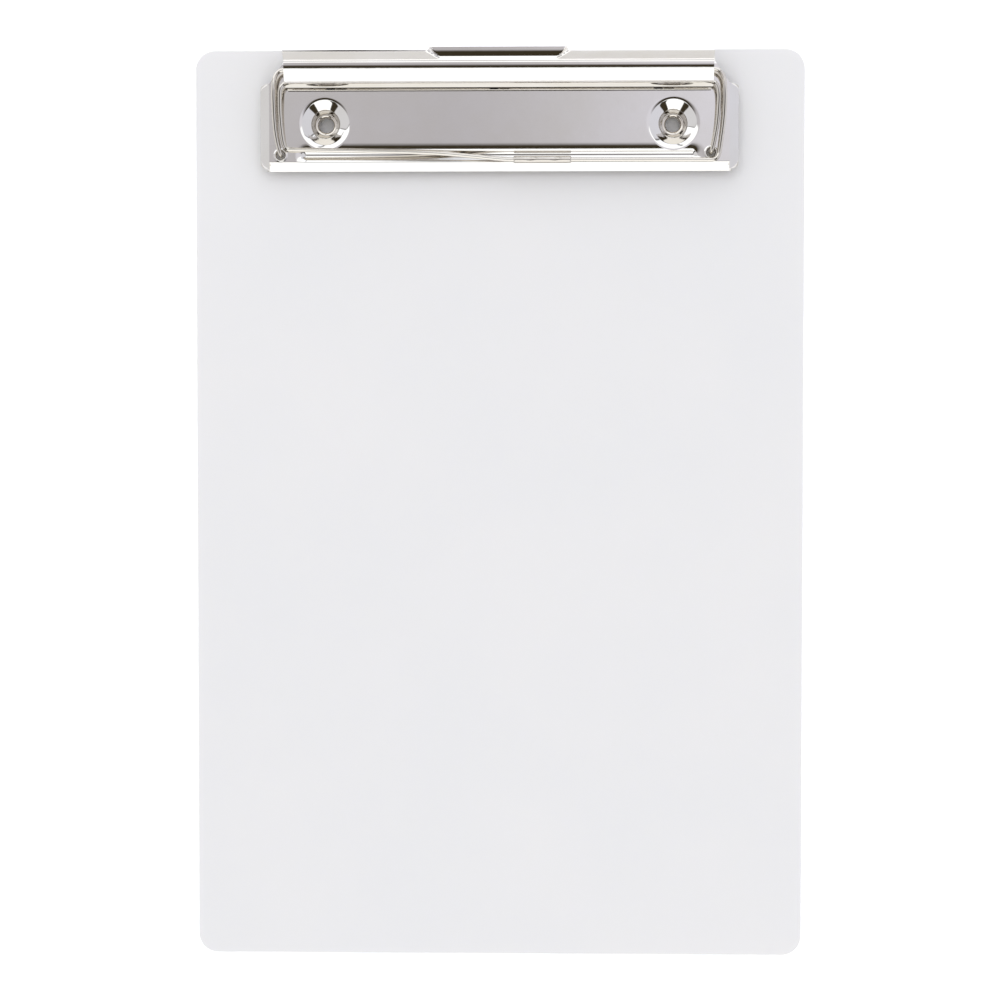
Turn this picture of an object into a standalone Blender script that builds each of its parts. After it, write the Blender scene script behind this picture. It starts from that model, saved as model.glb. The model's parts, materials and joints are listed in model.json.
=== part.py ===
"""A5 clipboard with a wire-bail clip.

The board lies on its back: X runs across it, Y towards the clip end and Z up.
The origin is the centre of the board's back face.

The clip is a pressed base plate, riveted down through two dished bosses. Two spring
wires are each hooked into a front corner of the plate, run back along its side and
pass through the rolled edge of the lever. Their other ends come forward again and meet
in a crimped sleeve, as the bail that holds the paper. Pressing the lever back twists
the two runs inside the roll and lifts the bail.
A solid can't twist, so each wire is two pieces: an anchored arm and its half of the bail.
"""

import math

import bmesh
import bpy
from mathutils import Matrix, Vector

MM = 0.001

# Board
BOARD_WIDTH = 154 * MM
BOARD_LENGTH = 230 * MM
BOARD_THICKNESS = 2.5 * MM
BOARD_CORNER_RADIUS = 5 * MM
BOARD_EDGE_ROUND = 0.6 * MM

# Clearances
FLAT_GAP = 0.1 * MM  # between flat faces that touch
WIRE_GAP = 0.3 * MM  # between a wire and what it rests on

# Base plate: depths run from the board's clip edge towards the paper end
PLATE_SHEET = 0.6 * MM
PLATE_HEIGHT = 4.6 * MM  # top of the plate above the board
PLATE_HALF_WIDTH = 57.9 * MM  # to the side folds
PLATE_REAR_DEPTH = 4.1 * MM
PLATE_FRONT_DEPTH = 28.95 * MM
PLATE_REAR_HALF_WIDTH = 54.2 * MM
PLATE_SIDE_START_DEPTH = 9.2 * MM
SKIRT_DROP = 2.1 * MM
SIDE_SKIRT_RUN = 2.2 * MM
FRONT_SKIRT_RUN = 2.0 * MM
REAR_SKIRT_RUN = 1.6 * MM

# Press groove under the bail
GROOVE_HALF_LENGTH = 49.8 * MM
GROOVE_WIDTH = 3.0 * MM
GROOVE_DEPTH = 27.15 * MM
GROOVE_CUT = 0.3 * MM

# Rivets and the dished bosses that they hold down
RIVET_SPACING = 87.4 * MM
RIVET_DEPTH = 19.1 * MM
RIVET_BORE_RADIUS = 1.9 * MM
RIVET_TUBE_RADIUS = 2.5 * MM
RIVET_RIM_RADIUS = 3.18 * MM
RIVET_HEAD_RADIUS = 4.6 * MM
RIVET_HEAD_THICKNESS = 0.6 * MM
RIVET_HOLE_RADIUS = 2.8 * MM
COUNTERBORE_RADIUS = 5.0 * MM
COUNTERBORE_DEPTH = 0.9 * MM
DISH_MOUTH_RADIUS = 5.6 * MM
DISH_FLOOR_RADIUS = 3.9 * MM
DISH_BEAD = 0.12 * MM

# Spring wire
WIRE_RADIUS = 0.55 * MM
TWIST_SPACING = 3.1 * MM  # between the two runs in the roll
TWIST_SPLIT = 45.05 * MM  # where a run's fixed part ends and its bail stub begins
ANCHOR_HOLE_RADIUS = 1.0 * MM
ANCHOR_DEPTH_IN_PLATE = 1.8 * MM
LEFT_ANCHOR = (-54.9 * MM, 27.1 * MM)
RIGHT_ANCHOR = (53.1 * MM, 26.6 * MM)

# Crimped sleeve that joins the two halves of the bail
SLEEVE_CENTRE = 10.9 * MM
SLEEVE_DEPTH = 28.4 * MM
SLEEVE_LENGTH = 14.4 * MM
SLEEVE_RADIUS = 0.9 * MM
SLEEVE_BORE = 0.63 * MM

# Lever, which turns on the two wire runs
HINGE_DEPTH = 7.85 * MM
HINGE_HEIGHT = 7.6 * MM
LEVER_SHEET = 0.5 * MM
LEVER_HALF_LENGTH = 53.2 * MM
ROLL_RADIUS = 4.5 * MM  # middle of the sheet
ROLL_CENTRE = (1.9 * MM, -0.31 * MM)  # (behind the hinge, above it)
ROLL_STEPS = 12
TAB_HALF_WIDTH = 13.9 * MM
TAB_SHOULDER = 3.5 * MM

# Lugs of the base plate that hold the wire runs down
LUG_POSITIONS = (-41.5 * MM, 0.0, 41.5 * MM)
LUG_WIDTH = 5 * MM
LUG_SHEET = 0.6 * MM
LUG_HOOK_SHEET = 0.5 * MM
LUG_HOOK_REACH = 1.5 * MM

BEND_RADIUS = 1.8 * MM  # of a wire at a corner of its route
BEND_STEP = math.radians(16)
ROUND_STEPS = 32

STEEL_COLOUR = (0.78, 0.77, 0.74, 1)
BOARD_COLOUR = (0.86, 0.86, 0.87, 1)


def place(x, depth, height):
    """A point from its place across, its depth from the clip edge and its height above the board."""
    return Vector((x, BOARD_LENGTH / 2 - depth, BOARD_THICKNESS + height))


HINGE = place(0, HINGE_DEPTH, HINGE_HEIGHT)


def clear_scene():
    for obj in list(bpy.data.objects):
        bpy.data.objects.remove(obj)


def make_collection(name):
    collection = bpy.data.collections.new(name)
    bpy.context.scene.collection.children.link(collection)
    return collection


def make_material(name, colour, metallic, roughness):
    material = bpy.data.materials.new(name)
    material.use_nodes = True
    shader = material.node_tree.nodes["Principled BSDF"]
    shader.inputs["Base Color"].default_value = colour
    shader.inputs["Metallic"].default_value = metallic
    shader.inputs["Roughness"].default_value = roughness
    return material


def add_object(name, data, collection, material=None):
    obj = bpy.data.objects.new(name, data)
    collection.objects.link(obj)
    if material:
        data.materials.append(material)
    return obj


def mesh_from(bm, name):
    mesh = bpy.data.meshes.new(name)
    bm.to_mesh(mesh)
    bm.free()
    return mesh


def make_cutter(name, mesh, collection):
    cutter = add_object(name, mesh, collection)
    cutter.hide_render = True
    cutter.display_type = "WIRE"
    return cutter


def combine(obj, other, operation):
    modifier = obj.modifiers.new(other.name, "BOOLEAN")
    modifier.operation = operation
    modifier.object = other


def box_mesh(name, low, high):
    """A box between two corners."""
    bm = bmesh.new()
    bmesh.ops.create_cube(bm, size=1)
    size = high - low
    bmesh.ops.transform(bm, matrix=Matrix.Diagonal((*size, 1)), verts=bm.verts)
    bmesh.ops.translate(bm, vec=(low + high) / 2, verts=bm.verts)
    return mesh_from(bm, name)


def cylinder_mesh(name, radius, low, high):
    """An upright cylinder from the point low to the height of the point high."""
    bm = bmesh.new()
    bmesh.ops.create_cone(
        bm, cap_ends=True, segments=ROUND_STEPS, radius1=radius, radius2=radius, depth=high.z - low.z
    )
    bmesh.ops.translate(bm, vec=(low.x, low.y, (low.z + high.z) / 2), verts=bm.verts)
    return mesh_from(bm, name)


def turned_object(name, profile, position, collection, material=None):
    """A closed (radius, height) profile, listed down its outer side, turned about an upright axis."""
    bm = bmesh.new()
    verts = [bm.verts.new((radius, 0, height)) for radius, height in profile]
    for start, end in zip(verts, verts[1:] + verts[:1]):
        bm.edges.new((start, end))
    obj = add_object(name, mesh_from(bm, name), collection, material)
    screw = obj.modifiers.new("turn", "SCREW")
    screw.steps = screw.render_steps = ROUND_STEPS
    screw.use_merge_vertices = True
    screw.merge_threshold = 0.00001
    screw.use_smooth_shade = True
    obj.location = position
    return obj


def bent_points(route):
    """The route's points, with each corner rounded by a bend."""
    points = [route[0]]
    for before, corner, after in zip(route, route[1:], route[2:]):
        arrive = before - corner
        leave = after - corner
        turn = math.pi - arrive.angle(leave)
        cut = min(BEND_RADIUS * math.tan(turn / 2), 0.45 * arrive.length, 0.45 * leave.length)
        start = corner + arrive.normalized() * cut
        end = corner + leave.normalized() * cut
        steps = max(1, math.ceil(turn / BEND_STEP))
        for step in range(steps + 1):
            t = step / steps
            points.append(start.lerp(corner, t).lerp(corner.lerp(end, t), t))
    points.append(route[-1])
    return points


def wire_object(name, route, collection, material, origin=Vector()):
    """A round wire, bent along the route."""
    data = bpy.data.curves.new(name, "CURVE")
    data.dimensions = "3D"
    data.bevel_depth = WIRE_RADIUS
    data.bevel_resolution = 2
    data.use_fill_caps = True
    points = bent_points(route)
    spline = data.splines.new("POLY")
    spline.points.add(len(points) - 1)
    for target, point in zip(spline.points, points):
        target.co = (*(point - origin), 1)
    obj = add_object(name, data, collection, material)
    obj.location = origin
    return obj


def rivet_places():
    return [("left", -RIVET_SPACING / 2), ("right", RIVET_SPACING / 2)]


def make_board(collection, cutters, material):
    """The sheet, with round corners and two stepped holes that sink the rivet heads in its back."""
    size = Vector((BOARD_WIDTH, BOARD_LENGTH, BOARD_THICKNESS))
    mesh = box_mesh("board", -size / 2, size / 2)
    bm = bmesh.new()
    bm.from_mesh(mesh)
    upright = [e for e in bm.edges if abs(e.verts[0].co.z - e.verts[1].co.z) > BOARD_THICKNESS / 2]
    bmesh.ops.bevel(bm, geom=upright, offset=BOARD_CORNER_RADIUS, segments=8, profile=0.5, affect="EDGES")
    bmesh.ops.translate(bm, vec=(0, 0, BOARD_THICKNESS / 2), verts=bm.verts)
    bm.to_mesh(mesh)
    bm.free()
    board = add_object("board", mesh, collection, material)
    rounding = board.modifiers.new("edges", "BEVEL")
    rounding.width = BOARD_EDGE_ROUND
    rounding.segments = 2
    rounding.limit_method = "ANGLE"
    rounding.angle_limit = math.radians(60)
    for side, x in rivet_places():
        top = place(x, RIVET_DEPTH, 1 * MM)
        bottom = top - Vector((0, 0, BOARD_THICKNESS + 2 * MM))
        sink = Vector((top.x, top.y, COUNTERBORE_DEPTH))
        hole = cylinder_mesh(f"{side}_rivet_hole", RIVET_HOLE_RADIUS, bottom, top)
        counterbore = cylinder_mesh(f"{side}_counterbore", COUNTERBORE_RADIUS, bottom, sink)
        for mesh in (hole, counterbore):
            combine(board, make_cutter(mesh.name, mesh, cutters), "DIFFERENCE")
    return board


def plate_outline():
    """The flat top of the base plate: (across, depth), anticlockwise from above."""
    return [
        (-PLATE_HALF_WIDTH, PLATE_FRONT_DEPTH),
        (PLATE_HALF_WIDTH, PLATE_FRONT_DEPTH),
        (PLATE_HALF_WIDTH, PLATE_SIDE_START_DEPTH),
        (PLATE_REAR_HALF_WIDTH, PLATE_REAR_DEPTH),
        (-PLATE_REAR_HALF_WIDTH, PLATE_REAR_DEPTH),
        (-PLATE_HALF_WIDTH, PLATE_SIDE_START_DEPTH),
    ]


def plate_sheet_mesh():
    """The open surface of the plate's top and its four sloping skirts."""
    bm = bmesh.new()
    top = [bm.verts.new(place(x, depth, PLATE_HEIGHT)) for x, depth in plate_outline()]
    bm.faces.new(top)
    front_left, front_right, side_right, rear_right, rear_left, side_left = top

    def skirt(start, end, across, forward, start_trim=0.0, end_trim=0.0):
        """A strip that slopes down from a fold. A trim shortens its free edge at one end."""
        along = (end.co - start.co).normalized()
        slope = Vector((across, -forward, -SKIRT_DROP))
        free_start = bm.verts.new(start.co + slope + along * start_trim)
        free_end = bm.verts.new(end.co + slope - along * end_trim)
        bm.faces.new((start, free_start, free_end, end))

    skirt(front_left, front_right, 0, FRONT_SKIRT_RUN)
    skirt(front_right, side_right, SIDE_SKIRT_RUN, 0, 1.2 * MM, 1.2 * MM)
    skirt(rear_right, rear_left, 0, -REAR_SKIRT_RUN)
    skirt(side_left, front_left, -SIDE_SKIRT_RUN, 0, 1.2 * MM, 1.2 * MM)
    return mesh_from(bm, "base_plate")


def dish_profile():
    """The dished boss, from its bead on the plate to its floor: (radius, height above the board)."""
    floor_bottom = FLAT_GAP
    floor_top = floor_bottom + PLATE_SHEET
    bead_top = PLATE_HEIGHT + DISH_BEAD
    bead_bottom = PLATE_HEIGHT - PLATE_SHEET - DISH_BEAD
    wall = PLATE_SHEET
    return [
        (DISH_MOUTH_RADIUS + 0.7 * MM, bead_top),
        (DISH_MOUTH_RADIUS + 0.7 * MM, bead_bottom),
        (DISH_MOUTH_RADIUS + 0.2 * MM, bead_bottom),
        (DISH_FLOOR_RADIUS + wall, floor_bottom),
        (RIVET_HOLE_RADIUS, floor_bottom),
        (RIVET_HOLE_RADIUS, floor_top),
        (DISH_FLOOR_RADIUS - 0.3 * MM, floor_top),
        (DISH_FLOOR_RADIUS + 0.1 * MM, floor_top + 0.4 * MM),
        (DISH_MOUTH_RADIUS - 0.5 * MM, PLATE_HEIGHT - 0.7 * MM),
        (DISH_MOUTH_RADIUS, bead_top),
    ]


def lug_meshes(x, index):
    """One lanced lug: a stem between the two wire runs, hooked forwards over one and back over the other."""
    stem_bottom = PLATE_HEIGHT - PLATE_SHEET / 2
    hook_bottom = HINGE_HEIGHT + WIRE_RADIUS + WIRE_GAP
    hook_top = hook_bottom + LUG_HOOK_SHEET
    stem = LUG_SHEET / 2
    root = stem + 0.05 * MM
    side = LUG_WIDTH / 2
    edge = side + 0.05 * MM
    split = 0.2 * MM
    corners = {
        "stem": ((-side, stem, stem_bottom), (side, -stem, hook_top - LUG_HOOK_SHEET / 2)),
        "front_hook": ((-edge, LUG_HOOK_REACH, hook_bottom), (-split, -root, hook_top)),
        "rear_hook": ((split, root, hook_bottom), (edge, -LUG_HOOK_REACH, hook_top)),
    }
    for piece, (low, high) in corners.items():
        low, high = (place(x + across, HINGE_DEPTH + ahead, height) for across, ahead, height in (low, high))
        yield box_mesh(f"lug_{index}_{piece}", low, high)


def groove_mesh():
    """The shallow press groove: a bar with round ends, proud of the plate so that it cuts cleanly."""
    low = place(-GROOVE_HALF_LENGTH, GROOVE_DEPTH + GROOVE_WIDTH / 2, PLATE_HEIGHT - GROOVE_CUT)
    high = place(GROOVE_HALF_LENGTH, GROOVE_DEPTH - GROOVE_WIDTH / 2, PLATE_HEIGHT + 1 * MM)
    mesh = box_mesh("press_groove", low, high)
    bm = bmesh.new()
    bm.from_mesh(mesh)
    upright = [e for e in bm.edges if abs(e.verts[0].co.x - e.verts[1].co.x) < 1e-6]
    upright = [e for e in upright if abs(e.verts[0].co.y - e.verts[1].co.y) < 1e-6]
    bmesh.ops.bevel(bm, geom=upright, offset=GROOVE_WIDTH * 0.49, segments=5, profile=0.5, affect="EDGES")
    bm.to_mesh(mesh)
    bm.free()
    return mesh


def make_base_plate(collection, cutters, material):
    plate = add_object("base_plate", plate_sheet_mesh(), collection, material)
    solid = plate.modifiers.new("sheet", "SOLIDIFY")
    solid.thickness = PLATE_SHEET
    solid.offset = -1
    solid.use_even_offset = True
    for side, x in rivet_places():
        low = place(x, RIVET_DEPTH, PLATE_HEIGHT - 2 * MM)
        high = place(x, RIVET_DEPTH, PLATE_HEIGHT + 1 * MM)
        mouth = cylinder_mesh(f"{side}_dish_mouth", DISH_MOUTH_RADIUS + 0.4 * MM, low, high)
        combine(plate, make_cutter(mouth.name, mouth, cutters), "DIFFERENCE")
        dish = turned_object(f"{side}_dish", dish_profile(), place(x, RIVET_DEPTH, 0), cutters)
        dish.hide_render = True
        dish.display_type = "WIRE"
        combine(plate, dish, "UNION")
    for x, depth in (LEFT_ANCHOR, RIGHT_ANCHOR):
        low = place(x, depth, PLATE_HEIGHT - 2 * MM)
        high = place(x, depth, PLATE_HEIGHT + 1 * MM)
        hole = cylinder_mesh("anchor_hole", ANCHOR_HOLE_RADIUS, low, high)
        combine(plate, make_cutter("anchor_hole", hole, cutters), "DIFFERENCE")
    combine(plate, make_cutter("press_groove", groove_mesh(), cutters), "DIFFERENCE")
    for index, x in enumerate(LUG_POSITIONS):
        for mesh in lug_meshes(x, index):
            combine(plate, make_cutter(mesh.name, mesh, cutters), "UNION")
    return plate


def make_rivet(name, x, collection, material):
    """A hollow rivet: its head is sunk in the board's back and its rim is rolled over the dish floor."""
    head_bottom = FLAT_GAP + 0.1 * MM
    head_top = head_bottom + RIVET_HEAD_THICKNESS
    rim_bottom = BOARD_THICKNESS + 2 * FLAT_GAP + PLATE_SHEET
    rim_top = rim_bottom + 0.6 * MM
    bore = RIVET_BORE_RADIUS
    rim = RIVET_RIM_RADIUS
    profile = [
        (bore + 0.65 * MM, rim_top),
        (rim - 0.25 * MM, rim_top - 0.1 * MM),
        (rim, rim_top - 0.33 * MM),
        (rim - 0.12 * MM, rim_bottom),
        (RIVET_TUBE_RADIUS, rim_bottom),
        (RIVET_TUBE_RADIUS, head_top),
        (RIVET_HEAD_RADIUS - 0.1 * MM, head_top),
        (RIVET_HEAD_RADIUS, head_top - 0.25 * MM),
        (RIVET_HEAD_RADIUS - 0.25 * MM, head_bottom),
        (bore + 0.25 * MM, head_bottom),
        (bore, head_bottom + 0.25 * MM),
        (bore, rim_top - 0.35 * MM),
        (bore + 0.25 * MM, rim_top - 0.07 * MM),
    ]
    centre = place(x, RIVET_DEPTH, 0)
    return turned_object(name, profile, (centre.x, centre.y, 0), collection, material)


def roll_profile():
    """The lever's section round the wire runs and back to its fold, as (behind the hinge, above it)."""
    front = [(-2.48 * MM, -1.9 * MM), (-2.59 * MM, -1.2 * MM)]
    behind, above = ROLL_CENTRE
    angles = [math.radians(90 * i / ROLL_STEPS) for i in range(ROLL_STEPS + 1)]
    roll = [(behind - ROLL_RADIUS * math.cos(a), above + ROLL_RADIUS * math.sin(a)) for a in angles]
    return front + roll + [(2.9 * MM, 4.2 * MM)]


def lever_profiles():
    """The lever's section beside the thumb tab and through it. They share the roll and have equal counts."""
    shared = roll_profile()
    straight = [(3.2, 4.3), (3.37, 4.5), (4.18, 5.68), (4.59, 6.27), (5.0, 6.85)]
    tab = [(3.2, 4.3), (3.37, 4.5), (3.72, 4.85), (4.2, 5.1), (6.15, 5.46)]
    straight, tab = ([(behind * MM, above * MM) for behind, above in end] for end in (straight, tab))
    return shared + straight, shared + tab


def lever_mesh():
    """The lever's sheet, lofted between the section beside the tab and the section through it."""
    beside, through = lever_profiles()
    bends = [(LEVER_HALF_LENGTH - TAB_HALF_WIDTH, 0), (TAB_SHOULDER, 0), (TAB_SHOULDER / 2, 0.5), (0, 1)]
    half = [(TAB_HALF_WIDTH + beyond, share) for beyond, share in bends]
    stations = [(-x, share) for x, share in half] + [(x, share) for x, share in reversed(half)]
    bm = bmesh.new()
    rows = []
    for x, share in stations:
        row = []
        for (y0, z0), (y1, z1) in zip(beside, through):
            row.append(bm.verts.new((x, y0 + (y1 - y0) * share, z0 + (z1 - z0) * share)))
        rows.append(row)
    for left, right in zip(rows, rows[1:]):
        for a, b, c, d in zip(left, right, right[1:], left[1:]):
            bm.faces.new((a, b, c, d))
    return mesh_from(bm, "lever")


def make_lever(collection, material):
    lever = add_object("lever", lever_mesh(), collection, material)
    lever.location = HINGE
    solid = lever.modifiers.new("sheet", "SOLIDIFY")
    solid.thickness = LEVER_SHEET
    solid.offset = 0
    solid.use_even_offset = True
    return lever


REST_HEIGHT = PLATE_HEIGHT + WIRE_GAP + WIRE_RADIUS
REAR_RUN = HINGE_DEPTH - TWIST_SPACING / 2
FRONT_RUN = HINGE_DEPTH + TWIST_SPACING / 2


def leg_height(depth):
    """A leg's height above the board: level with the hinge at the roll, resting on the plate in front."""
    slope_start = 11 * MM
    slope_end = 26 * MM
    share = min(1, max(0, (depth - slope_start) / (slope_end - slope_start)))
    return HINGE_HEIGHT + (REST_HEIGHT - HINGE_HEIGHT) * share


def route_along(points):
    """Route points from (across, depth) in millimetres, at the height of a leg."""
    return [place(x * MM, depth * MM, leg_height(depth * MM)) for x, depth in points]


def anchor_end(anchor):
    """The hooked end of an anchored arm, turned down through its hole in the plate."""
    x, depth = anchor
    heights = (REST_HEIGHT - 0.25 * MM, REST_HEIGHT - 1.0 * MM, PLATE_HEIGHT - ANCHOR_DEPTH_IN_PLATE)
    return [place(x, depth, height) for height in heights]


def left_arm_route():
    """From its hook, back along the outside of the left leg, then through the roll's rear run."""
    leg = route_along([(-55.3, 25.0), (-56.1, 20.0), (-56.3, 15), (-56.1, 9.4)])
    corner = route_along([(-55.2, REAR_RUN / MM)])
    end = place(TWIST_SPLIT - WIRE_GAP / 2, REAR_RUN, HINGE_HEIGHT)
    return [*reversed(anchor_end(LEFT_ANCHOR)), *leg, *corner, end]


def right_arm_route():
    """From its hook, back along the inside of the right leg, then through the roll's front run."""
    leg = route_along([(53.4, 24.8), (54.4, 20.0), (54.75, 15.5), (54.7, 11.4)])
    corner = route_along([(53.6, FRONT_RUN / MM)])
    end = place(-TWIST_SPLIT + WIRE_GAP / 2, FRONT_RUN, HINGE_HEIGHT)
    return [*reversed(anchor_end(RIGHT_ANCHOR)), *leg, *corner, end]


def bail_end(side):
    """Where one half of the bail stops, in the middle of the sleeve."""
    return place(SLEEVE_CENTRE + side * WIRE_GAP / 2, SLEEVE_DEPTH, REST_HEIGHT)


def left_bail_route():
    """From the front run's left stub, along the inside of the left leg, then across to the sleeve."""
    stub = place(-TWIST_SPLIT - WIRE_GAP / 2, FRONT_RUN, HINGE_HEIGHT)
    leg = route_along(
        [(-53.6, FRONT_RUN / MM), (-54.65, 11.4), (-54.75, 15.5), (-54.45, 20.0), (-53.4, 25.6)]
    )
    front = route_along([(-20, 26.55), (-6, 27.6), (2.2, SLEEVE_DEPTH / MM)])
    return [stub, *leg, *front, bail_end(-1)]


def right_bail_route():
    """From the rear run's right stub, round the outside of the right leg, then across to the sleeve."""
    stub = place(TWIST_SPLIT + WIRE_GAP / 2, REAR_RUN, HINGE_HEIGHT)
    leg = route_along([(55.2, REAR_RUN / MM), (56.15, 10.0), (56.2, 16.0), (55.7, 21.5), (54.8, 27.3)])
    front = route_along([(53.6, 28.55), (19.8, SLEEVE_DEPTH / MM)])
    return [stub, *leg, *front, bail_end(1)]


def make_sleeve(collection, material):
    """A short tube along the bail, with its ends a little nipped in."""
    half = SLEEVE_LENGTH / 2
    nip = 0.15 * MM
    outer = [(SLEEVE_RADIUS - nip, half), (SLEEVE_RADIUS, half - 2 * nip)]
    profile = [
        *outer,
        *[(radius, -height) for radius, height in reversed(outer)],
        (SLEEVE_BORE, -half),
        (SLEEVE_BORE, half),
    ]
    bail_axis = bpy.data.objects.new("bail_axis", None)
    bail_axis.location = HINGE
    collection.objects.link(bail_axis)
    centre = place(SLEEVE_CENTRE, SLEEVE_DEPTH, REST_HEIGHT)
    sleeve = turned_object("bail_sleeve", profile, centre - HINGE, collection, material)
    sleeve.rotation_euler.y = math.pi / 2
    sleeve.parent = bail_axis
    return sleeve


def main():
    clear_scene()
    clipboard = make_collection("clipboard")
    cutters = make_collection("cutters")
    steel = make_material("nickel_plated_steel", STEEL_COLOUR, 1.0, 0.16)
    plastic = make_material("frosted_plastic", BOARD_COLOUR, 0.0, 0.45)
    make_board(clipboard, cutters, plastic)
    make_base_plate(clipboard, cutters, steel)
    for side, x in rivet_places():
        make_rivet(f"rivet_{side}", x, clipboard, steel)
    make_lever(clipboard, steel)
    wire_object("spring_arm_left", left_arm_route(), clipboard, steel)
    wire_object("spring_arm_right", right_arm_route(), clipboard, steel)
    wire_object("bail_wire_left", left_bail_route(), clipboard, steel, HINGE)
    wire_object("bail_wire_right", right_bail_route(), clipboard, steel, HINGE)
    make_sleeve(clipboard, steel)


main()
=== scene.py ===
"""The looks of the clipboard: a frosted board with a nickel-plated wire-bail clip.

Every piece is placed from the CAD frame. A place on the clip is given in millimetres as
its distance across, its depth from the board's clip edge and its height above the board.
"""

import json
import math

import bmesh
import bpy
from mathutils import Matrix, Vector


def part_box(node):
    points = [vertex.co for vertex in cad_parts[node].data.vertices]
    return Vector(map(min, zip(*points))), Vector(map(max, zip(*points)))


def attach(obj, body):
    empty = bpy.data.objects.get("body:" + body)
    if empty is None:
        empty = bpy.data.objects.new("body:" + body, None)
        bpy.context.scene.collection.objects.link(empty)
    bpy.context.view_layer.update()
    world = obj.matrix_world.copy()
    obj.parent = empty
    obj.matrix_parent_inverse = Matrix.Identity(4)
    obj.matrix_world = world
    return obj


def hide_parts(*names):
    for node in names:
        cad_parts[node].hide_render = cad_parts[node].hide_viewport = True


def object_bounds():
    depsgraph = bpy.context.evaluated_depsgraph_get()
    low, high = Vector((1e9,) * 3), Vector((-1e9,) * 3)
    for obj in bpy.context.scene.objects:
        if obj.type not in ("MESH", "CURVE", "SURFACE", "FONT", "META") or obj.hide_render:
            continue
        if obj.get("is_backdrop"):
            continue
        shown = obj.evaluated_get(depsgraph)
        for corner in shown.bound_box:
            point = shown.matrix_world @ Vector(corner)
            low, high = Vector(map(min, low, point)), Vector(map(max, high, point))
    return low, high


MM = 0.001

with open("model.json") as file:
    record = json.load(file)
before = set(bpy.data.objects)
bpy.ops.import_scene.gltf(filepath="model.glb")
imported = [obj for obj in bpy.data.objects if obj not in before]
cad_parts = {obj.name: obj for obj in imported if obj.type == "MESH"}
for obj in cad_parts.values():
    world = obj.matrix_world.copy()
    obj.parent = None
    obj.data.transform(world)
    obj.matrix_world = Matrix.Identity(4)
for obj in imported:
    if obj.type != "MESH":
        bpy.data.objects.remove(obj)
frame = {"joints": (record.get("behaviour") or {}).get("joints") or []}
cad_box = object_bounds()

BOARD_LOW, BOARD_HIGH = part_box("board")
_, LEVER_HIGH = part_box("lever")
RIVET_LOW, RIVET_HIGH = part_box("rivet_right")
SLEEVE_LOW, SLEEVE_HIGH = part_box("bail_sleeve")
HINGE = Vector(frame["joints"][0]["pos_m"])

# Board, in millimetres
CORNER_RADIUS = 5
BOARD_EDGE_ROUND = 0.6
RIVET_HOLE_RADIUS = 2.8
COUNTERBORE_RADIUS = 5
COUNTERBORE_DEPTH = 0.9

# Base plate, in millimetres
PLATE_HEIGHT = 4.6
PLATE_SHEET = 0.6
PLATE_HALF_WIDTH = 57.9
PLATE_REAR_HALF_WIDTH = 54.2
PLATE_SIDE_START = 9.2
SKIRT_DROP = 2.1
SIDE_DROP = 1.75
REAR_FOLD = 4.1
FRONT_FOLD = 28.95
REAR_EDGE = 2.5
FRONT_EDGE = 30.95
SIDE_RUN = 2.2
FOLD_ROUND = 0.22
LIP_FLARE = 0.9
LIP_FLARE_START = FRONT_FOLD - 0.4

# Side flanges: only their ends, outside these depths, are trimmed and curled
FLANGE_END = FRONT_FOLD + 1.6
FLANGE_PLAIN = (12, 26)
FLANGE_REAR_TRIM = 0.6
FLANGE_FRONT_TRIM = 1.5
CURL_LENGTH = 1.0
CURL_DROP = 0.4

GROOVE_DEPTH = 27.15
GROOVE_HALF_WIDTH = 1.15
GROOVE_HALF_LENGTH = 48.3
GROOVE_SINK = 0.4
SHOULDER = 3.75
SHOULDER_SINK = 0.3
SHOULDER_CURVE = 2.2

DISH_RIM = 6.9
COLLAR_RIM = 1.8
LEFT_ANCHOR = (-54.9, 27.1)
RIGHT_ANCHOR = (53.1, 26.6)
CUTTER_LENGTH = 12
CUTTER_HEIGHT = 3

LUG_POSITIONS = (-41.5, 0, 41.5)
LUG_SHEET = 0.5
LUG_HALF_WIDTH = 2.5
LUG_HALF_SLIT = 0.15
LUG_CLEARANCE = 0.3
LUG_BEND = 0.5
LUG_REACH = 1.5

# Wires, in millimetres
WIRE_RADIUS = 0.55
WIRE_STEPS = 8
REST_HEIGHT = 5.45
RUN_OFFSET = 1.55
RUN_SPLIT = 45.05
HALF_GAP = 0.15
LEG_SLOPE_START = 11
LEG_SLOPE_RUN = 15

# Crimped sleeve, in millimetres
SLEEVE_BORE = 0.62
SLEEVE_SIDES = 32
SLEEVE_END = 0.3
SLEEVE_END_ROUND = 0.16
CRIMP_PLACE = 0.42  # of the sleeve's half length
CRIMP_LENGTH = 0.9
CRIMP_DEPTH = 0.17  # of the sleeve's radius

# Lever, in millimetres
LEVER_SHEET = 0.5
LEVER_STEPS = 6
ROLL_RADIUS = 4.5
ROLL_CENTRE = (1.9, -0.31)  # (behind the hinge, above it)
ROLL_TURN = 75  # degrees
TAB_STRETCHES = 6
TAB_BASE_HALF = 12.6
TAB_RIM_HALF = 17.2
TAB_FOLD = 0.4


def place(x, depth, height):
    """The point at these millimetres across, deep and high."""
    return Vector((x * MM, BOARD_HIGH.y - depth * MM, BOARD_HIGH.z + height * MM))


HINGE_DEPTH = (BOARD_HIGH.y - HINGE.y) / MM
HINGE_HEIGHT = (HINGE.z - BOARD_HIGH.z) / MM
REAR_RUN = HINGE_DEPTH - RUN_OFFSET
FRONT_RUN = HINGE_DEPTH + RUN_OFFSET
RIVET_CENTRE = (RIVET_LOW + RIVET_HIGH) / 2
SLEEVE_CENTRE = (SLEEVE_LOW + SLEEVE_HIGH) / 2
SLEEVE_DEPTH = (BOARD_HIGH.y - SLEEVE_CENTRE.y) / MM
BAIL_MEETS = SLEEVE_CENTRE.x / MM


# Helpers


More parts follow.
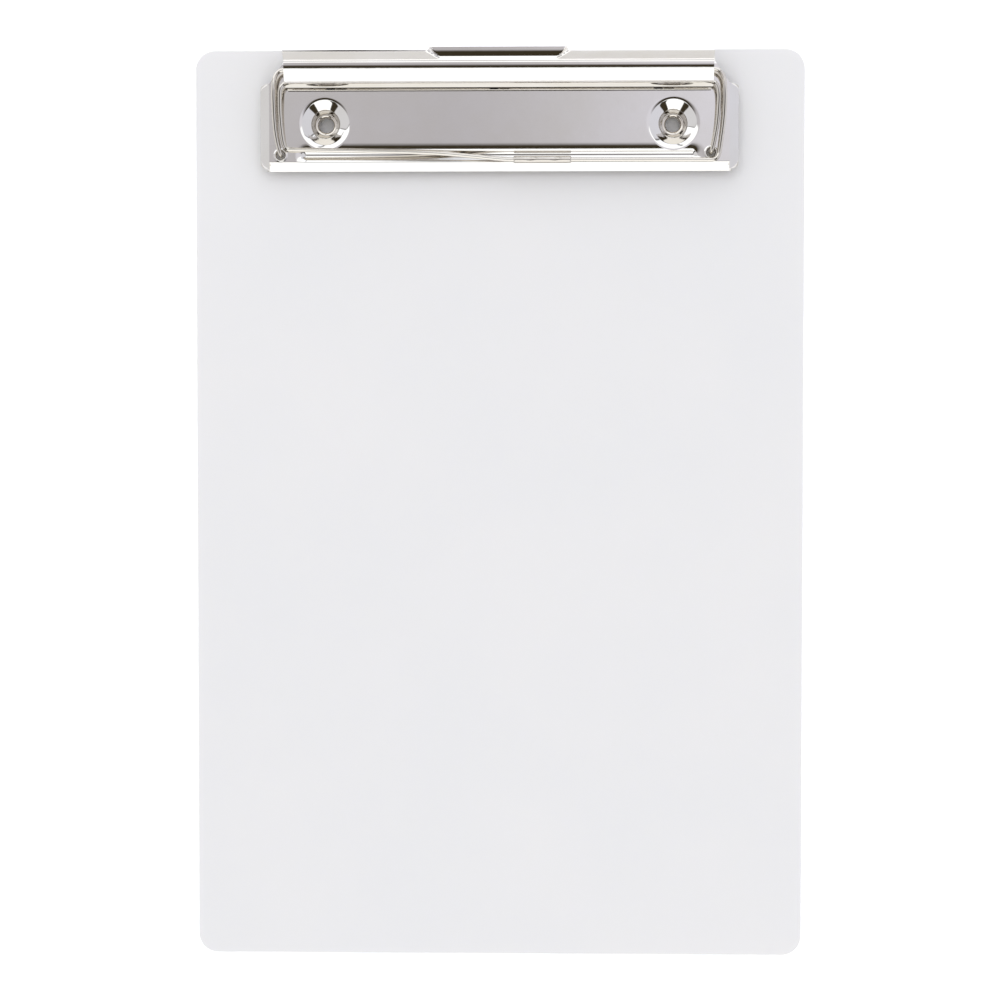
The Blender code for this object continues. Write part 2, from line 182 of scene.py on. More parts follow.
def new_object(name, data, material=None):
    obj = bpy.data.objects.new(name, data)
    bpy.context.scene.collection.objects.link(obj)
    if material:
        data.materials.append(material)
    return obj


def mesh_from(bm, name, smooth=True):
    mesh = bpy.data.meshes.new(name)
    bmesh.ops.recalc_face_normals(bm, faces=bm.faces)
    for face in bm.faces:
        face.smooth = smooth
    bm.to_mesh(mesh)
    bm.free()
    return mesh


def settle(obj):
    """Applies the object's modifiers to its mesh."""
    depsgraph = bpy.context.evaluated_depsgraph_get()
    mesh = bpy.data.meshes.new_from_object(obj.evaluated_get(depsgraph))
    obj.modifiers.clear()
    obj.data = mesh
    return obj


def thickened(name, mesh, thickness, offset, material):
    """An open sheet given its thickness in millimetres."""
    sheet = new_object(name, mesh, material)
    solid = sheet.modifiers.new("sheet", "SOLIDIFY")
    solid.thickness = thickness * MM
    solid.offset = offset
    return settle(sheet)


def smooth_by_angle(obj, degrees):
    """Smooth shading, except across edges sharper than this."""
    obj.data.shade_smooth()
    obj.data.set_sharp_from_angle(angle=math.radians(degrees))


def bore(obj, middle, radius, length, steps, solver="EXACT"):
    """Cuts an upright round hole through obj."""
    bm = bmesh.new()
    bmesh.ops.create_cone(bm, cap_ends=True, segments=steps, radius1=radius, radius2=radius, depth=length)
    bmesh.ops.translate(bm, vec=middle, verts=bm.verts)
    cutter = new_object("cutter", mesh_from(bm, "cutter", smooth=False))
    cut = obj.modifiers.new("hole", "BOOLEAN")
    cut.object = cutter
    cut.solver = solver
    settle(obj)
    bpy.data.objects.remove(cutter)


def stand_for(obj, body, slot, *nodes):
    """Puts the piece on its body, in place of its CAD nodes. Its slot is not used."""
    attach(obj, body)
    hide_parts(*nodes)


def grid_mesh(bm, rows):
    """Faces between neighbouring rows of points."""
    rows = [[bm.verts.new(point) for point in row] for row in rows]
    for row, following in zip(rows, rows[1:]):
        for a, b, c, d in zip(row, row[1:], following[1:], following):
            bm.faces.new((a, b, c, d))


def spread(*stops):
    """Values from stop to stop: (start, step), (start, step), ..., (end, any)."""
    values = []
    for (start, step), (end, _) in zip(stops, stops[1:]):
        count = max(1, round((end - start) / step))
        values.extend(start + (end - start) * i / count for i in range(count))
    return values + [stops[-1][0]]


def through(points, steps):
    """A smooth curve through points, with steps to each stretch. Its tangents follow the chords."""
    points = [Vector(p) for p in points]
    padded = [2 * points[0] - points[1], *points, 2 * points[-1] - points[-2]]
    curve = []
    for before, start, end, after in zip(padded, padded[1:], padded[2:], padded[3:]):
        chord = (end - start).length
        leave = (end - before).normalized() * chord
        arrive = (after - start).normalized() * chord
        for i in range(steps):
            t = i / steps
            curve.append(
                start * (2 * t**3 - 3 * t**2 + 1)
                + leave * (t**3 - 2 * t**2 + t)
                + end * (3 * t**2 - 2 * t**3)
                + arrive * (t**3 - t**2)
            )
    curve.append(points[-1])
    return curve


def turned(name, profile, steps=72):
    """A closed (radius, height) profile in millimetres, turned about Z."""
    bm = bmesh.new()
    rings = []
    for i in range(steps):
        angle = 2 * math.pi * i / steps
        across = Vector((math.cos(angle), math.sin(angle)))
        rings.append([(*(across * r * MM), h * MM) for r, h in [*profile, profile[0]]])
    grid_mesh(bm, [*rings, rings[0]])
    bmesh.ops.remove_doubles(bm, verts=bm.verts, dist=0.0005 * MM)
    return mesh_from(bm, name)


# Materials


class Nodes:
    """A material's node tree, with a short way to add and link nodes."""

    def __init__(self, name):
        self.material = bpy.data.materials.new(name)
        self.material.use_nodes = True
        self.tree = self.material.node_tree
        self.shader = self.tree.nodes["Principled BSDF"]

    def add(self, kind, inputs=None, **settings):
        node = self.tree.nodes.new(kind)
        for key, value in settings.items():
            setattr(node, key, value)
        for key, value in (inputs or {}).items():
            if isinstance(value, bpy.types.NodeSocket):
                self.tree.links.new(value, node.inputs[key])
            else:
                node.inputs[key].default_value = value
        return node

    def set(self, **inputs):
        for key, value in inputs.items():
            socket = self.shader.inputs[key.replace("_", " ")]
            if isinstance(value, bpy.types.NodeSocket):
                self.tree.links.new(value, socket)
            else:
                socket.default_value = value

    def coordinates(self, scale=(1, 1, 1)):
        """The piece's own coordinates, stretched."""
        own = self.add("ShaderNodeTexCoord").outputs["Object"]
        return self.add("ShaderNodeMapping", {0: own, "Scale": scale}).outputs[0]

    def noise(self, scale, detail, stretch=(1, 1, 1)):
        inputs = {"Vector": self.coordinates(stretch), "Scale": scale, "Detail": detail, "Roughness": 0.55}
        return self.add("ShaderNodeTexNoise", inputs).outputs["Fac"]

    def span(self, value, low, high, start=0.0, end=1.0):
        """value's stretch from start to end, as low to high."""
        inputs = {"Value": value, 1: start, 2: end, 3: low, 4: high}
        return self.add("ShaderNodeMapRange", inputs).outputs["Result"]

    def math(self, operation, *values):
        return self.add("ShaderNodeMath", dict(enumerate(values)), operation=operation).outputs[0]

    def mix(self, share, under, over):
        node = self.add("ShaderNodeMix", data_type="RGBA")
        sockets = {socket.identifier: socket for socket in node.inputs}
        for identifier, value in (("Factor_Float", share), ("A_Color", under), ("B_Color", over)):
            if isinstance(value, bpy.types.NodeSocket):
                self.tree.links.new(value, sockets[identifier])
            else:
                sockets[identifier].default_value = value
        return {socket.identifier: socket for socket in node.outputs}["Result_Color"]

    def bump(self, height, distance, under=None):
        inputs = {"Height": height, "Distance": distance, "Strength": 1.0}
        if under:
            inputs["Normal"] = under
        return self.add("ShaderNodeBump", inputs).outputs["Normal"]


def nickel(name, roughness, grain, colour=(0.735, 0.71, 0.675)):
    """Nickel plate: near-mirror, with an uneven haze, a slight ripple and fine rolling lines along Y."""
    nodes = Nodes(name)
    haze = nodes.noise(90, detail=3)
    lines = nodes.noise(2600, detail=2, stretch=(1, 0.04, 1))
    ripple = nodes.noise(420, detail=2)
    specks = nodes.noise(5200, detail=1)
    warmer = (colour[0] * 0.965, colour[1] * 0.96, colour[2] * 0.94)
    tint = nodes.mix(nodes.span(haze, 0, 1, 0.35, 0.65), (*colour, 1), (*warmer, 1))
    hazy = nodes.span(haze, roughness * 0.8, roughness * 1.25, 0.3, 0.7)
    speckled = nodes.math("ADD", hazy, nodes.span(specks, 0, 0.05, 0.6, 0.8))
    normal = nodes.bump(ripple, 0.004 * MM)
    normal = nodes.bump(lines, grain * MM, under=normal)
    nodes.set(Base_Color=tint, Metallic=1.0, Roughness=speckled, Normal=normal)
    return nodes.material


def frosted_plastic():
    """Frosted polypropylene: milky, faintly cloudy, with a fine spark-eroded grain."""
    nodes = Nodes("frosted_plastic")
    cloud = nodes.noise(22, detail=3)
    grain = nodes.noise(3800, detail=2)
    coarse = nodes.noise(1300, detail=2)
    tint = nodes.mix(nodes.span(cloud, 0, 1, 0.35, 0.65), (0.845, 0.825, 0.795, 1), (0.86, 0.835, 0.80, 1))
    normal = nodes.bump(grain, 0.012 * MM)
    normal = nodes.bump(coarse, 0.01 * MM, under=normal)
    nodes.set(
        Base_Color=tint,
        Roughness=nodes.span(coarse, 0.38, 0.5, 0.3, 0.7),
        IOR=1.49,
        Subsurface_Weight=0.15,
        Subsurface_Radius=(1.0, 1.0, 1.15),
        Subsurface_Scale=1.5 * MM,
        Normal=normal,
    )
    return nodes.material


# The board


def make_board(material):
    """The sheet, with round corners, soft edges and two stepped holes for the rivets."""
    size = BOARD_HIGH - BOARD_LOW
    bm = bmesh.new()
    bmesh.ops.create_cube(bm, size=1, matrix=Matrix.Diagonal((*size, 1)))
    upright = [e for e in bm.edges if abs(e.verts[0].co.z - e.verts[1].co.z) > size.z / 2]
    bmesh.ops.bevel(bm, geom=upright, offset=CORNER_RADIUS * MM, segments=20, profile=0.5, affect="EDGES")
    bmesh.ops.translate(bm, vec=(BOARD_LOW + BOARD_HIGH) / 2, verts=bm.verts)
    board = new_object("frosted_board", mesh_from(bm, "frosted_board", smooth=False), material)
    bottom = BOARD_LOW.z - MM
    steps = ((RIVET_HOLE_RADIUS * MM, BOARD_HIGH.z + MM), (COUNTERBORE_RADIUS * MM, COUNTERBORE_DEPTH * MM))
    for side in (-1, 1):
        for radius, top in steps:
            middle = Vector((side * RIVET_CENTRE.x, RIVET_CENTRE.y, (top + bottom) / 2))
            bore(board, middle, radius, top - bottom, 64)
    rounding = board.modifiers.new("edges", "BEVEL")
    rounding.width = BOARD_EDGE_ROUND * MM
    rounding.segments = 4
    rounding.limit_method = "ANGLE"
    rounding.angle_limit = math.radians(60)
    settle(board)
    smooth_by_angle(board, 30)
    even = board.modifiers.new("faces", "WEIGHTED_NORMAL")
    even.mode = "FACE_AREA"
    even.weight = 100
    even.keep_sharp = True
    settle(board)
    stand_for(board, "base", "board", "board")


# The base plate


def fold(past):
    """How far a 45 degree fold has dropped, this many millimetres past its corner."""
    if past <= -FOLD_ROUND:
        return 0
    if past >= FOLD_ROUND:
        return past
    return (past + FOLD_ROUND) ** 2 / (4 * FOLD_ROUND)


def plate_height(x, depth):
    """Height of the plate's top face, its skirts and its press groove."""
    height = PLATE_HEIGHT
    height -= fold(depth - FRONT_FOLD) * SKIRT_DROP / (FRONT_EDGE - FRONT_FOLD)
    height -= fold(REAR_FOLD - depth) * SKIRT_DROP / (REAR_FOLD - REAR_EDGE)
    height -= fold(abs(x) - PLATE_HALF_WIDTH) * SIDE_DROP / SIDE_RUN
    along = max(0, abs(x) - GROOVE_HALF_LENGTH)
    away = math.hypot(along, depth - GROOVE_DEPTH)
    if away < SHOULDER:
        height -= SHOULDER_SINK * min(1, (SHOULDER - away) / (SHOULDER - GROOVE_HALF_WIDTH)) ** SHOULDER_CURVE
    if away < GROOVE_HALF_WIDTH:
        height -= GROOVE_SINK * (1 - (away / GROOVE_HALF_WIDTH) ** 2)
    return height


def plate_half_width(depth):
    """The main sheet's half width: cut back at the rear corners and flared along the front lip."""
    if depth < REAR_FOLD:
        return PLATE_REAR_HALF_WIDTH
    if depth < PLATE_SIDE_START:
        share = (depth - REAR_FOLD) / (PLATE_SIDE_START - REAR_FOLD)
        return PLATE_REAR_HALF_WIDTH + (PLATE_HALF_WIDTH - FOLD_ROUND - PLATE_REAR_HALF_WIDTH) * share
    if depth <= LIP_FLARE_START:
        return PLATE_HALF_WIDTH - FOLD_ROUND
    share = min(1, (depth - LIP_FLARE_START) / (FRONT_EDGE - LIP_FLARE_START))
    return PLATE_HALF_WIDTH - FOLD_ROUND + share * LIP_FLARE


def plate_rows():
    """The main sheet, as rows of points from its rear edge to its front edge."""
    depths = spread(
        (REAR_EDGE, 0.4), (REAR_FOLD - 0.7, 0.15), (REAR_FOLD + 0.7, 0.425), (PLATE_SIDE_START, 0.4),
        (GROOVE_DEPTH - 3.9, 0.2), (GROOVE_DEPTH - 1.6, 0.1), (FRONT_FOLD + 0.5, 0.3), (FRONT_EDGE, 1),
    )
    fixed = 52.0  # columns beyond this stretch out to the side edge
    half = spread((0, 2.0), (36, 0.4), (46, 0.25), (fixed, 1))
    edge = spread((0, 0.1), (1, 1))[1:]
    rows = []
    for depth in depths:
        reach = plate_half_width(depth)
        right = half + [fixed + (reach - fixed) * share for share in edge]
        xs = [-x for x in reversed(right[1:])] + right
        rows.append([place(x, depth, plate_height(x, depth)) for x in xs])
    return rows


def flange_rows(side):
    """One side flange: its rear end is trimmed, and its front end is rounded past the front fold."""
    rear, front = FLANGE_PLAIN
    depths = spread(
        (PLATE_SIDE_START, 0.2), (rear, 0.4), (front, 0.14), (FRONT_FOLD - 0.4, 0.14), (FLANGE_END, 1)
    )
    runs = spread((-FOLD_ROUND, 0.11), (FOLD_ROUND, 0.18), (SIDE_RUN, 1))
    rows = []
    for run in runs:
        share = max(0, run) / SIDE_RUN
        rounding = 1 - math.sqrt(max(0, 1 - share**2))
        start = PLATE_SIDE_START + FLANGE_REAR_TRIM * rounding
        end = FLANGE_END - FLANGE_FRONT_TRIM * rounding
        x = side * (PLATE_HALF_WIDTH + run)
        row = []
        for depth in depths:
            if depth < rear:
                depth = rear - (rear - depth) * (rear - start) / (rear - PLATE_SIDE_START)
            elif depth > front:
                depth = front + (depth - front) * (end - front) / (FLANGE_END - front)
            height = plate_height(x, min(depth, GROOVE_DEPTH - SHOULDER))
            curl = max(0, 1 - (depth - start) / CURL_LENGTH, 1 - (end - depth) / CURL_LENGTH)
            row.append(place(x, depth, height - CURL_DROP * share * curl**2))
        rows.append(row)
    return rows


def dish_profile():
    """A dished boss's top face, from the plate in to its floor on the board."""
    outline = [
        (DISH_RIM, PLATE_HEIGHT), (6.45, 4.592), (6.1, 4.545), (5.8, 4.485), (5.52, 4.39), (5.3, 4.26),
        (4.95, 4.02), (4.5, 3.73), (4.05, 3.46), (3.68, 3.23), (3.46, 2.98), (3.38, 2.55), (3.36, 2.0),
        (3.36, 1.35), (3.33, 0.95), (3.26, 0.76), (3.1, 0.7), (2.85, 0.7),
    ]
    return [(p.x, p.y) for p in through([(r, h, 0) for r, h in outline], 4)]


def collar_profile():
    """The ring pressed round an anchor hole, and the hole's turned-down wall."""
    rim = [(COLLAR_RIM, PLATE_HEIGHT), (1.68, 4.62), (1.5, 4.68), (1.3, 4.66)]
    outline = rim + [(1.13, 4.5), (1.04, 4.2), (1.0, 3.6)]
    return [(p.x, p.y) for p in through([(r, h, 0) for r, h in outline], 4)]


def sheet_up(name, rows, material):
    """A sheet through rows of points, thickened on its underside."""
    bm = bmesh.new()
    grid_mesh(bm, rows)
    bmesh.ops.remove_doubles(bm, verts=bm.verts, dist=0.0005 * MM)
    for face in bm.faces:
        face.normal_update()
        if face.normal.z < 0:
            face.normal_flip()
    mesh = bpy.data.meshes.new(name)
    bm.to_mesh(mesh)
    bm.free()
    return thickened(name, mesh, PLATE_SHEET, -1, material)


def turned_sheet(profile, centre, steps):
    """A pressing's sheet, turned about an upright axis at centre = (across, depth)."""
    rows = []
    for i in range(steps + 1):
        angle = 2 * math.pi * i / steps
        across, deep = math.cos(angle), -math.sin(angle)
        rows.append([place(centre[0] + r * across, centre[1] + r * deep, h) for r, h in profile])
    return sheet_up("pressing", rows, None)


def lug_hooks():
    """Three lanced lugs, each with a strip hooked forwards over one wire run and one back over the other."""
    top = HINGE_HEIGHT + WIRE_RADIUS + LUG_CLEARANCE
    bend = [math.radians(18 * i) for i in range(1, 6)]
    centreline = [(0, PLATE_HEIGHT - 0.3), (0, top - LUG_BEND)]
    centreline += [(LUG_BEND - LUG_BEND * math.cos(a), top - LUG_BEND + LUG_BEND * math.sin(a)) for a in bend]
    centreline += [(LUG_REACH, top)]
    for x in LUG_POSITIONS:
        left = (x - LUG_HALF_WIDTH, x - LUG_HALF_SLIT, 1)
        right = (x + LUG_HALF_SLIT, x + LUG_HALF_WIDTH, -1)
        for low, high, ahead in (left, right):
            points = [Vector((ahead * run, height)) for run, height in centreline]
            yield [[(across, p.x, p.y) for p in points] for across in (low, high)]


def make_base_plate(material):
    """The pressed plate: main sheet, flanges, dishes, anchor collars and lugs."""
    rivet_x = RIVET_CENTRE.x / MM
    rivet_depth = (BOARD_HIGH.y - RIVET_CENTRE.y) / MM
    plate = sheet_up("clip_plate", plate_rows(), material)
    parts = [sheet_up("flange", flange_rows(side), None) for side in (-1, 1)]
    pressings = [(dish_profile(), (side * rivet_x, rivet_depth), DISH_RIM, 96) for side in (-1, 1)]
    pressings += [(collar_profile(), centre, COLLAR_RIM, 48) for centre in (LEFT_ANCHOR, RIGHT_ANCHOR)]
    for profile, centre, rim, steps in pressings:
        bore(plate, place(*centre, CUTTER_HEIGHT), rim * MM, CUTTER_LENGTH * MM, steps, "MANIFOLD")
        parts.append(turned_sheet(profile, centre, steps))
    bm = bmesh.new()
    for rows in lug_hooks():
        grid_mesh(bm, [[place(x, HINGE_DEPTH + ahead, h) for x, ahead, h in row] for row in rows])
    parts.append(thickened("lugs", mesh_from(bm, "lugs"), LUG_SHEET, 0, None))
    bm = bmesh.new()
    bm.from_mesh(plate.data)
    for part in parts:
        bm.from_mesh(part.data)
        bpy.data.objects.remove(part)
    bm.to_mesh(plate.data)
    bm.free()
    smooth_by_angle(plate, 40)
    stand_for(plate, "base", "clip_sheet", "base_plate")


# The lever


def lever_sections():
    """The lever's section beside the thumb tab and through it, as (behind the hinge, above it)."""
    front = [(-2.53, -1.9), (-2.585, -1.65), (-2.6, -1.4), (-2.6, -0.9), (-2.6, -0.55)]
    roll = [Vector(point) for point in front]
    for degrees in range(0, ROLL_TURN + 1, 3):
        angle = math.radians(degrees)
        roll.append(Vector(ROLL_CENTRE) + Vector((-math.cos(angle), math.sin(angle))) * ROLL_RADIUS)
    shelf = [(1.45, 4.2), (1.8, 4.255), (2.1, 4.282), (2.5, 4.29), (3.0, 4.29)]
    straight = [(3.25, 4.42), (3.42, 4.6), (3.77, 5.09), (4.18, 5.68), (4.59, 6.26), (5.0, 6.8)]
    tab = [(3.25, 4.42), (3.42, 4.59), (3.75, 4.8), (4.15, 4.9), (5.3, 5.09), (6.15, 5.12)]
    sections = []
    for end in (straight, tab):
        bend = through([roll[-2], roll[-1], *shelf, *end], LEVER_STEPS)
        sections.append(roll[:-2] + bend)
    return sections


def tab_share(x, along):
    """How far the sheet follows the tab: the tab's sides run out from its base to its rim."""
    half = TAB_BASE_HALF + (TAB_RIM_HALF - TAB_BASE_HALF) * along
    t = min(1, max(0, (half - abs(x)) / TAB_FOLD + 0.5))
    return t * t * (3 - 2 * t)


def make_lever(material):
    """The rolled lever with its thumb tab bent back."""
    beside, through_tab = lever_sections()
    first = len(beside) - 1 - TAB_STRETCHES * LEVER_STEPS
    half = spread((0, 2.2), (12.8, 0.22), (18.4, 2.2), (LEVER_HIGH.x / MM, 1))
    rows = []
    for x in [-x for x in reversed(half[1:])] + half:
        row = []
        for i, (plain, tab) in enumerate(zip(beside, through_tab)):
            along = min(1, max(0, (i - first) / (len(beside) - 1 - first)))
            point = plain.lerp(tab, tab_share(x, along))
            row.append(HINGE + Vector((x, *point)) * MM)
        rows.append(row)
    bm = bmesh.new()
    grid_mesh(bm, rows)
    lever = thickened("rolled_lever", mesh_from(bm, "rolled_lever"), LEVER_SHEET, 0, material)
    smooth_by_angle(lever, 50)
    stand_for(lever, "lever", "clip_sheet", "lever")


# The spring wires


def leg_height(depth):
    """A leg's height: level with the hinge at the roll, resting on the plate in front."""
    share = min(1, max(0, (depth - LEG_SLOPE_START) / LEG_SLOPE_RUN))
    return HINGE_HEIGHT + (REST_HEIGHT - HINGE_HEIGHT) * share


def leg(*points):
    """Points of a leg, from (across, depth)."""
    return [place(x, depth, leg_height(depth)) for x, depth in points]


def hook(anchor):
    """The end of an anchored arm, turned down through its hole."""
    x, depth = anchor
    return [place(x, depth, h) for h in (2.9, 4.2)] + [place(x + 0.02, depth - 0.25, 5.25)]


def wire(name, route, material, body, node):
    """A round wire along a smooth route, with flat cut ends."""
    data = bpy.data.curves.new(name, "CURVE")
    data.dimensions = "3D"
    data.bevel_depth = WIRE_RADIUS * MM
    data.bevel_resolution = 5
    data.use_fill_caps = True
    points = through(route, WIRE_STEPS)
    spline = data.splines.new("POLY")
    spline.points.add(len(points) - 1)
    for target, point in zip(spline.points, points):
        target.co = (*point, 1)
    curve = new_object("route", data)
    depsgraph = bpy.context.evaluated_depsgraph_get()
    mesh = bpy.data.meshes.new_from_object(curve.evaluated_get(depsgraph))
    bpy.data.objects.remove(curve)
    bm = bmesh.new()
    bm.from_mesh(mesh)
    bmesh.ops.remove_doubles(bm, verts=bm.verts, dist=0.002 * MM)
    mesh = mesh_from(bm, name)
    piece = new_object(name, mesh, material)
    smooth_by_angle(piece, 40)
    stand_for(piece, body, "wire", node)


def make_wires(material):
    """The two anchored arms and the two halves of the bail."""
    left_arm = [
        *hook(LEFT_ANCHOR),
        *leg((-55.05, 26.2), (-55.6, 24.0), (-56.1, 20.5), (-56.3, 16), (-56.3, 11), (-55.9, 8.2)),
        *leg((-54.9, 6.7)),
        *leg((-53.4, REAR_RUN), (-50, REAR_RUN), (-20, REAR_RUN)),
        place(RUN_SPLIT - HALF_GAP, REAR_RUN, HINGE_HEIGHT),
    ]
    right_arm = [
        *hook(RIGHT_ANCHOR),
        *leg((53.35, 25.6), (53.8, 23.6), (54.4, 20), (54.75, 15.5), (54.75, 12.2), (54.3, 10.4)),
        *leg((53.3, 9.55)),
        *leg((51.5, FRONT_RUN), (49, FRONT_RUN), (20, FRONT_RUN)),
        place(-RUN_SPLIT + HALF_GAP, FRONT_RUN, HINGE_HEIGHT),
    ]
    left_bail = [
        place(-RUN_SPLIT - HALF_GAP, FRONT_RUN, HINGE_HEIGHT),
        *leg((-49, FRONT_RUN), (-52, FRONT_RUN), (-53.6, 9.75), (-54.5, 10.9), (-54.75, 13), (-54.75, 16.5)),
        *leg((-54.5, 20.5), (-54.15, 23.4), (-53.75, 24.9), (-53.1, 25.6), (-52.0, 25.78), (-50, 25.85)),
        *leg((-36, 26.15), (-20, 26.55), (-13, 26.95), (-5, 27.7), (1.5, SLEEVE_DEPTH - 0.06)),
        place(5, SLEEVE_DEPTH, REST_HEIGHT),
        place(BAIL_MEETS - HALF_GAP, SLEEVE_DEPTH, REST_HEIGHT),
    ]
    right_bail = [
        place(RUN_SPLIT + HALF_GAP, REAR_RUN, HINGE_HEIGHT),
        *leg((49, REAR_RUN), (52.6, REAR_RUN), (54.6, 6.7), (55.8, 8.1), (56.2, 10.6), (56.25, 15.5)),
        *leg((56, 19.5)),
        *leg((55.45, 24.0), (55.05, 26.6), (54.6, 27.8), (53.7, 28.4), (52.4, 28.52), (48, 28.5)),
        place(24, SLEEVE_DEPTH + 0.05, REST_HEIGHT),
        place(17, SLEEVE_DEPTH, REST_HEIGHT),
        place(BAIL_MEETS + HALF_GAP, SLEEVE_DEPTH, REST_HEIGHT),
    ]
    wire("arm_wire_left", left_arm, material, "base", "spring_arm_left")
    wire("arm_wire_right", right_arm, material, "base", "spring_arm_right")
    wire("bail_half_left", left_bail, material, "bail", "bail_wire_left")
    wire("bail_half_right", right_bail, material, "bail", "bail_wire_right")


def make_sleeve(material):
    """The crimped sleeve: a tube along X, nipped flat at two places, with soft ends."""
    half = (SLEEVE_HIGH.x - SLEEVE_LOW.x) / 2 / MM
    outer = (SLEEVE_HIGH.z - SLEEVE_LOW.z) / 2 / MM
    stations = spread((-half, 0.06), (-half + SLEEVE_END, 0.3), (half - SLEEVE_END, 0.06), (half, 1))
    crimps = (-CRIMP_PLACE * half, CRIMP_PLACE * half)
    circle = [2 * math.pi * i / SLEEVE_SIDES for i in range(SLEEVE_SIDES + 1)]
    rows = []
    for x in stations:
        from_end = half - abs(x)
        radius = outer - SLEEVE_END_ROUND * max(0, 1 - from_end / SLEEVE_END) ** 2
        nip = sum(math.exp(-(((x - crimp) / CRIMP_LENGTH) ** 2)) for crimp in crimps)
        row = []
        for angle in circle:
            flatten = 1 - CRIMP_DEPTH * nip * abs(math.sin(angle)) ** 3
            row.append((x, radius * math.cos(angle), radius * flatten * math.sin(angle)))
        rows.append(row)
    for x in (half, -half):
        rows.append([(x, SLEEVE_BORE * math.cos(a), SLEEVE_BORE * math.sin(a)) for a in circle])
    rows.append(rows[0])
    bm = bmesh.new()
    grid_mesh(bm, [[Vector(point) * MM for point in row] for row in rows])
    bmesh.ops.remove_doubles(bm, verts=bm.verts, dist=0.0005 * MM)
    sleeve = new_object("crimped_sleeve", mesh_from(bm, "crimped_sleeve"), material)
    sleeve.location = SLEEVE_CENTRE
    smooth_by_angle(sleeve, 45)
    stand_for(sleeve, "bail", "clip_sheet", "bail_sleeve")


# The rivets


def make_rivets(material):
    """Hollow rivets: a rolled rim over the dish floor and a flat head sunk in the board's back."""
    bottom = RIVET_LOW.z / MM
    top = RIVET_HIGH.z / MM
    inner = [(1.9, bottom + 0.4), (1.9, top - 0.7), (1.94, top - 0.4), (2.06, top - 0.18), (2.3, top - 0.04)]
    rim = [(2.6, top), (2.9, top - 0.04), (3.12, top - 0.18), (3.18, top - 0.4), (3.14, top - 0.58)]
    stem = [(2.9, top - 0.6), (2.5, top - 0.6), (2.5, bottom + 0.62)]
    head = [
        (4.35, bottom + 0.62), (4.53, bottom + 0.55), (4.6, bottom + 0.4), (4.55, bottom + 0.2),
        (4.3, bottom + 0.05), (3.9, bottom), (2.3, bottom), (2.05, bottom + 0.06), (1.93, bottom + 0.2),
    ]
    for node in ("rivet_left", "rivet_right"):
        low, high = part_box(node)
        rivet = new_object(f"eyelet_{node[6:]}", turned(node, [*inner, *rim, *stem, *head]), material)
        rivet.location = ((low.x + high.x) / 2, (low.y + high.y) / 2, 0)
        smooth_by_angle(rivet, 50)
        stand_for(rivet, "base", "rivet", node)


# Floor, light and camera

FLOOR_GLOW = 0.3
GLOW_FADE = 4 * MM


def make_stage():
    """A plain white floor. It glows a little, except under the board."""
    bm = bmesh.new()
    bmesh.ops.create_grid(bm, x_segments=1, y_segments=1, size=6)
    floor = new_object("floor", mesh_from(bm, "floor"))
    floor.location.z = -0.05 * MM
    nodes = Nodes("floor_white")
    nodes.set(Base_Color=(0.93, 0.93, 0.93, 1), Roughness=0.9, Specular_IOR_Level=0.1)
    split = nodes.add("ShaderNodeSeparateXYZ", {0: nodes.coordinates()})
    beyond = []
    for axis, half in (("X", BOARD_HIGH.x), ("Y", BOARD_HIGH.y)):
        off = nodes.math("ABSOLUTE", split.outputs[axis])
        beyond.append(nodes.span(off, 0, 1, half - GLOW_FADE, half))
    glow = nodes.span(nodes.math("MAXIMUM", *beyond), 0, FLOOR_GLOW)
    nodes.set(Emission_Color=(1, 1, 1, 1), Emission_Strength=glow)
    floor.data.materials.append(nodes.material)
    floor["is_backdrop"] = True


class World(Nodes):
    """A world's node tree."""

    def __init__(self, name):
        self.world = bpy.data.worlds.new(name)
        self.world.use_nodes = True
        self.tree = self.world.node_tree
        bpy.context.scene.world = self.world

    def within(self, value, middle, half, soft):
        """1 where value is within half of middle, falling to 0 over soft."""
        off = self.math("ABSOLUTE", self.math("SUBTRACT", value, middle))
        return self.span(off, 1, 0, half, half + soft)

    def ramp(self, value, stops):
        node = self.add("ShaderNodeValToRGB", {"Fac": value})
        elements = node.color_ramp.elements
        elements[0].position, elements[1].position = stops[0][0], stops[-1][0]
        between = [elements.new(position) for position, _ in stops[1:-1]]
        for element, (_, colour) in zip([elements[0], *between, elements[len(stops) - 1]], stops):
            element.color = (*colour, 1)
        return node.outputs["Color"]


# The studio's panels: (start, end, colour), in degrees clockwise from the clip's side of the board
PANELS = (
    (-2, 34, (1.42, 1.48, 1.62)),
    (40, 130, (0.88, 0.90, 1.0)),
    (153, 208, (1.6, 1.64, 1.7)),
    (230, 292, (0.88, 0.89, 0.94)),
    (295, 352, (1.5, 1.55, 1.64)),
)
PANEL_FADE = 0.005  # of a full turn
GAP = (0.05, 0.04, 0.024)
CEILING = (1.5, 1.55, 1.62)
CEILING_HALF_WIDTH = 0.34
CEILING_START = 0.90

# The grey strip across the ceiling: (place from left to right, colour)
STRIP = (
    (0.1, (0.66, 0.65, 0.70)),
    (0.35, (0.62, 0.61, 0.66)),
    (0.47, (0.67, 0.66, 0.71)),
    (0.75, (0.90, 0.90, 1.0)),
)
STRIP_MIDDLE = -0.03
STRIP_HALF_DEPTH = 0.22


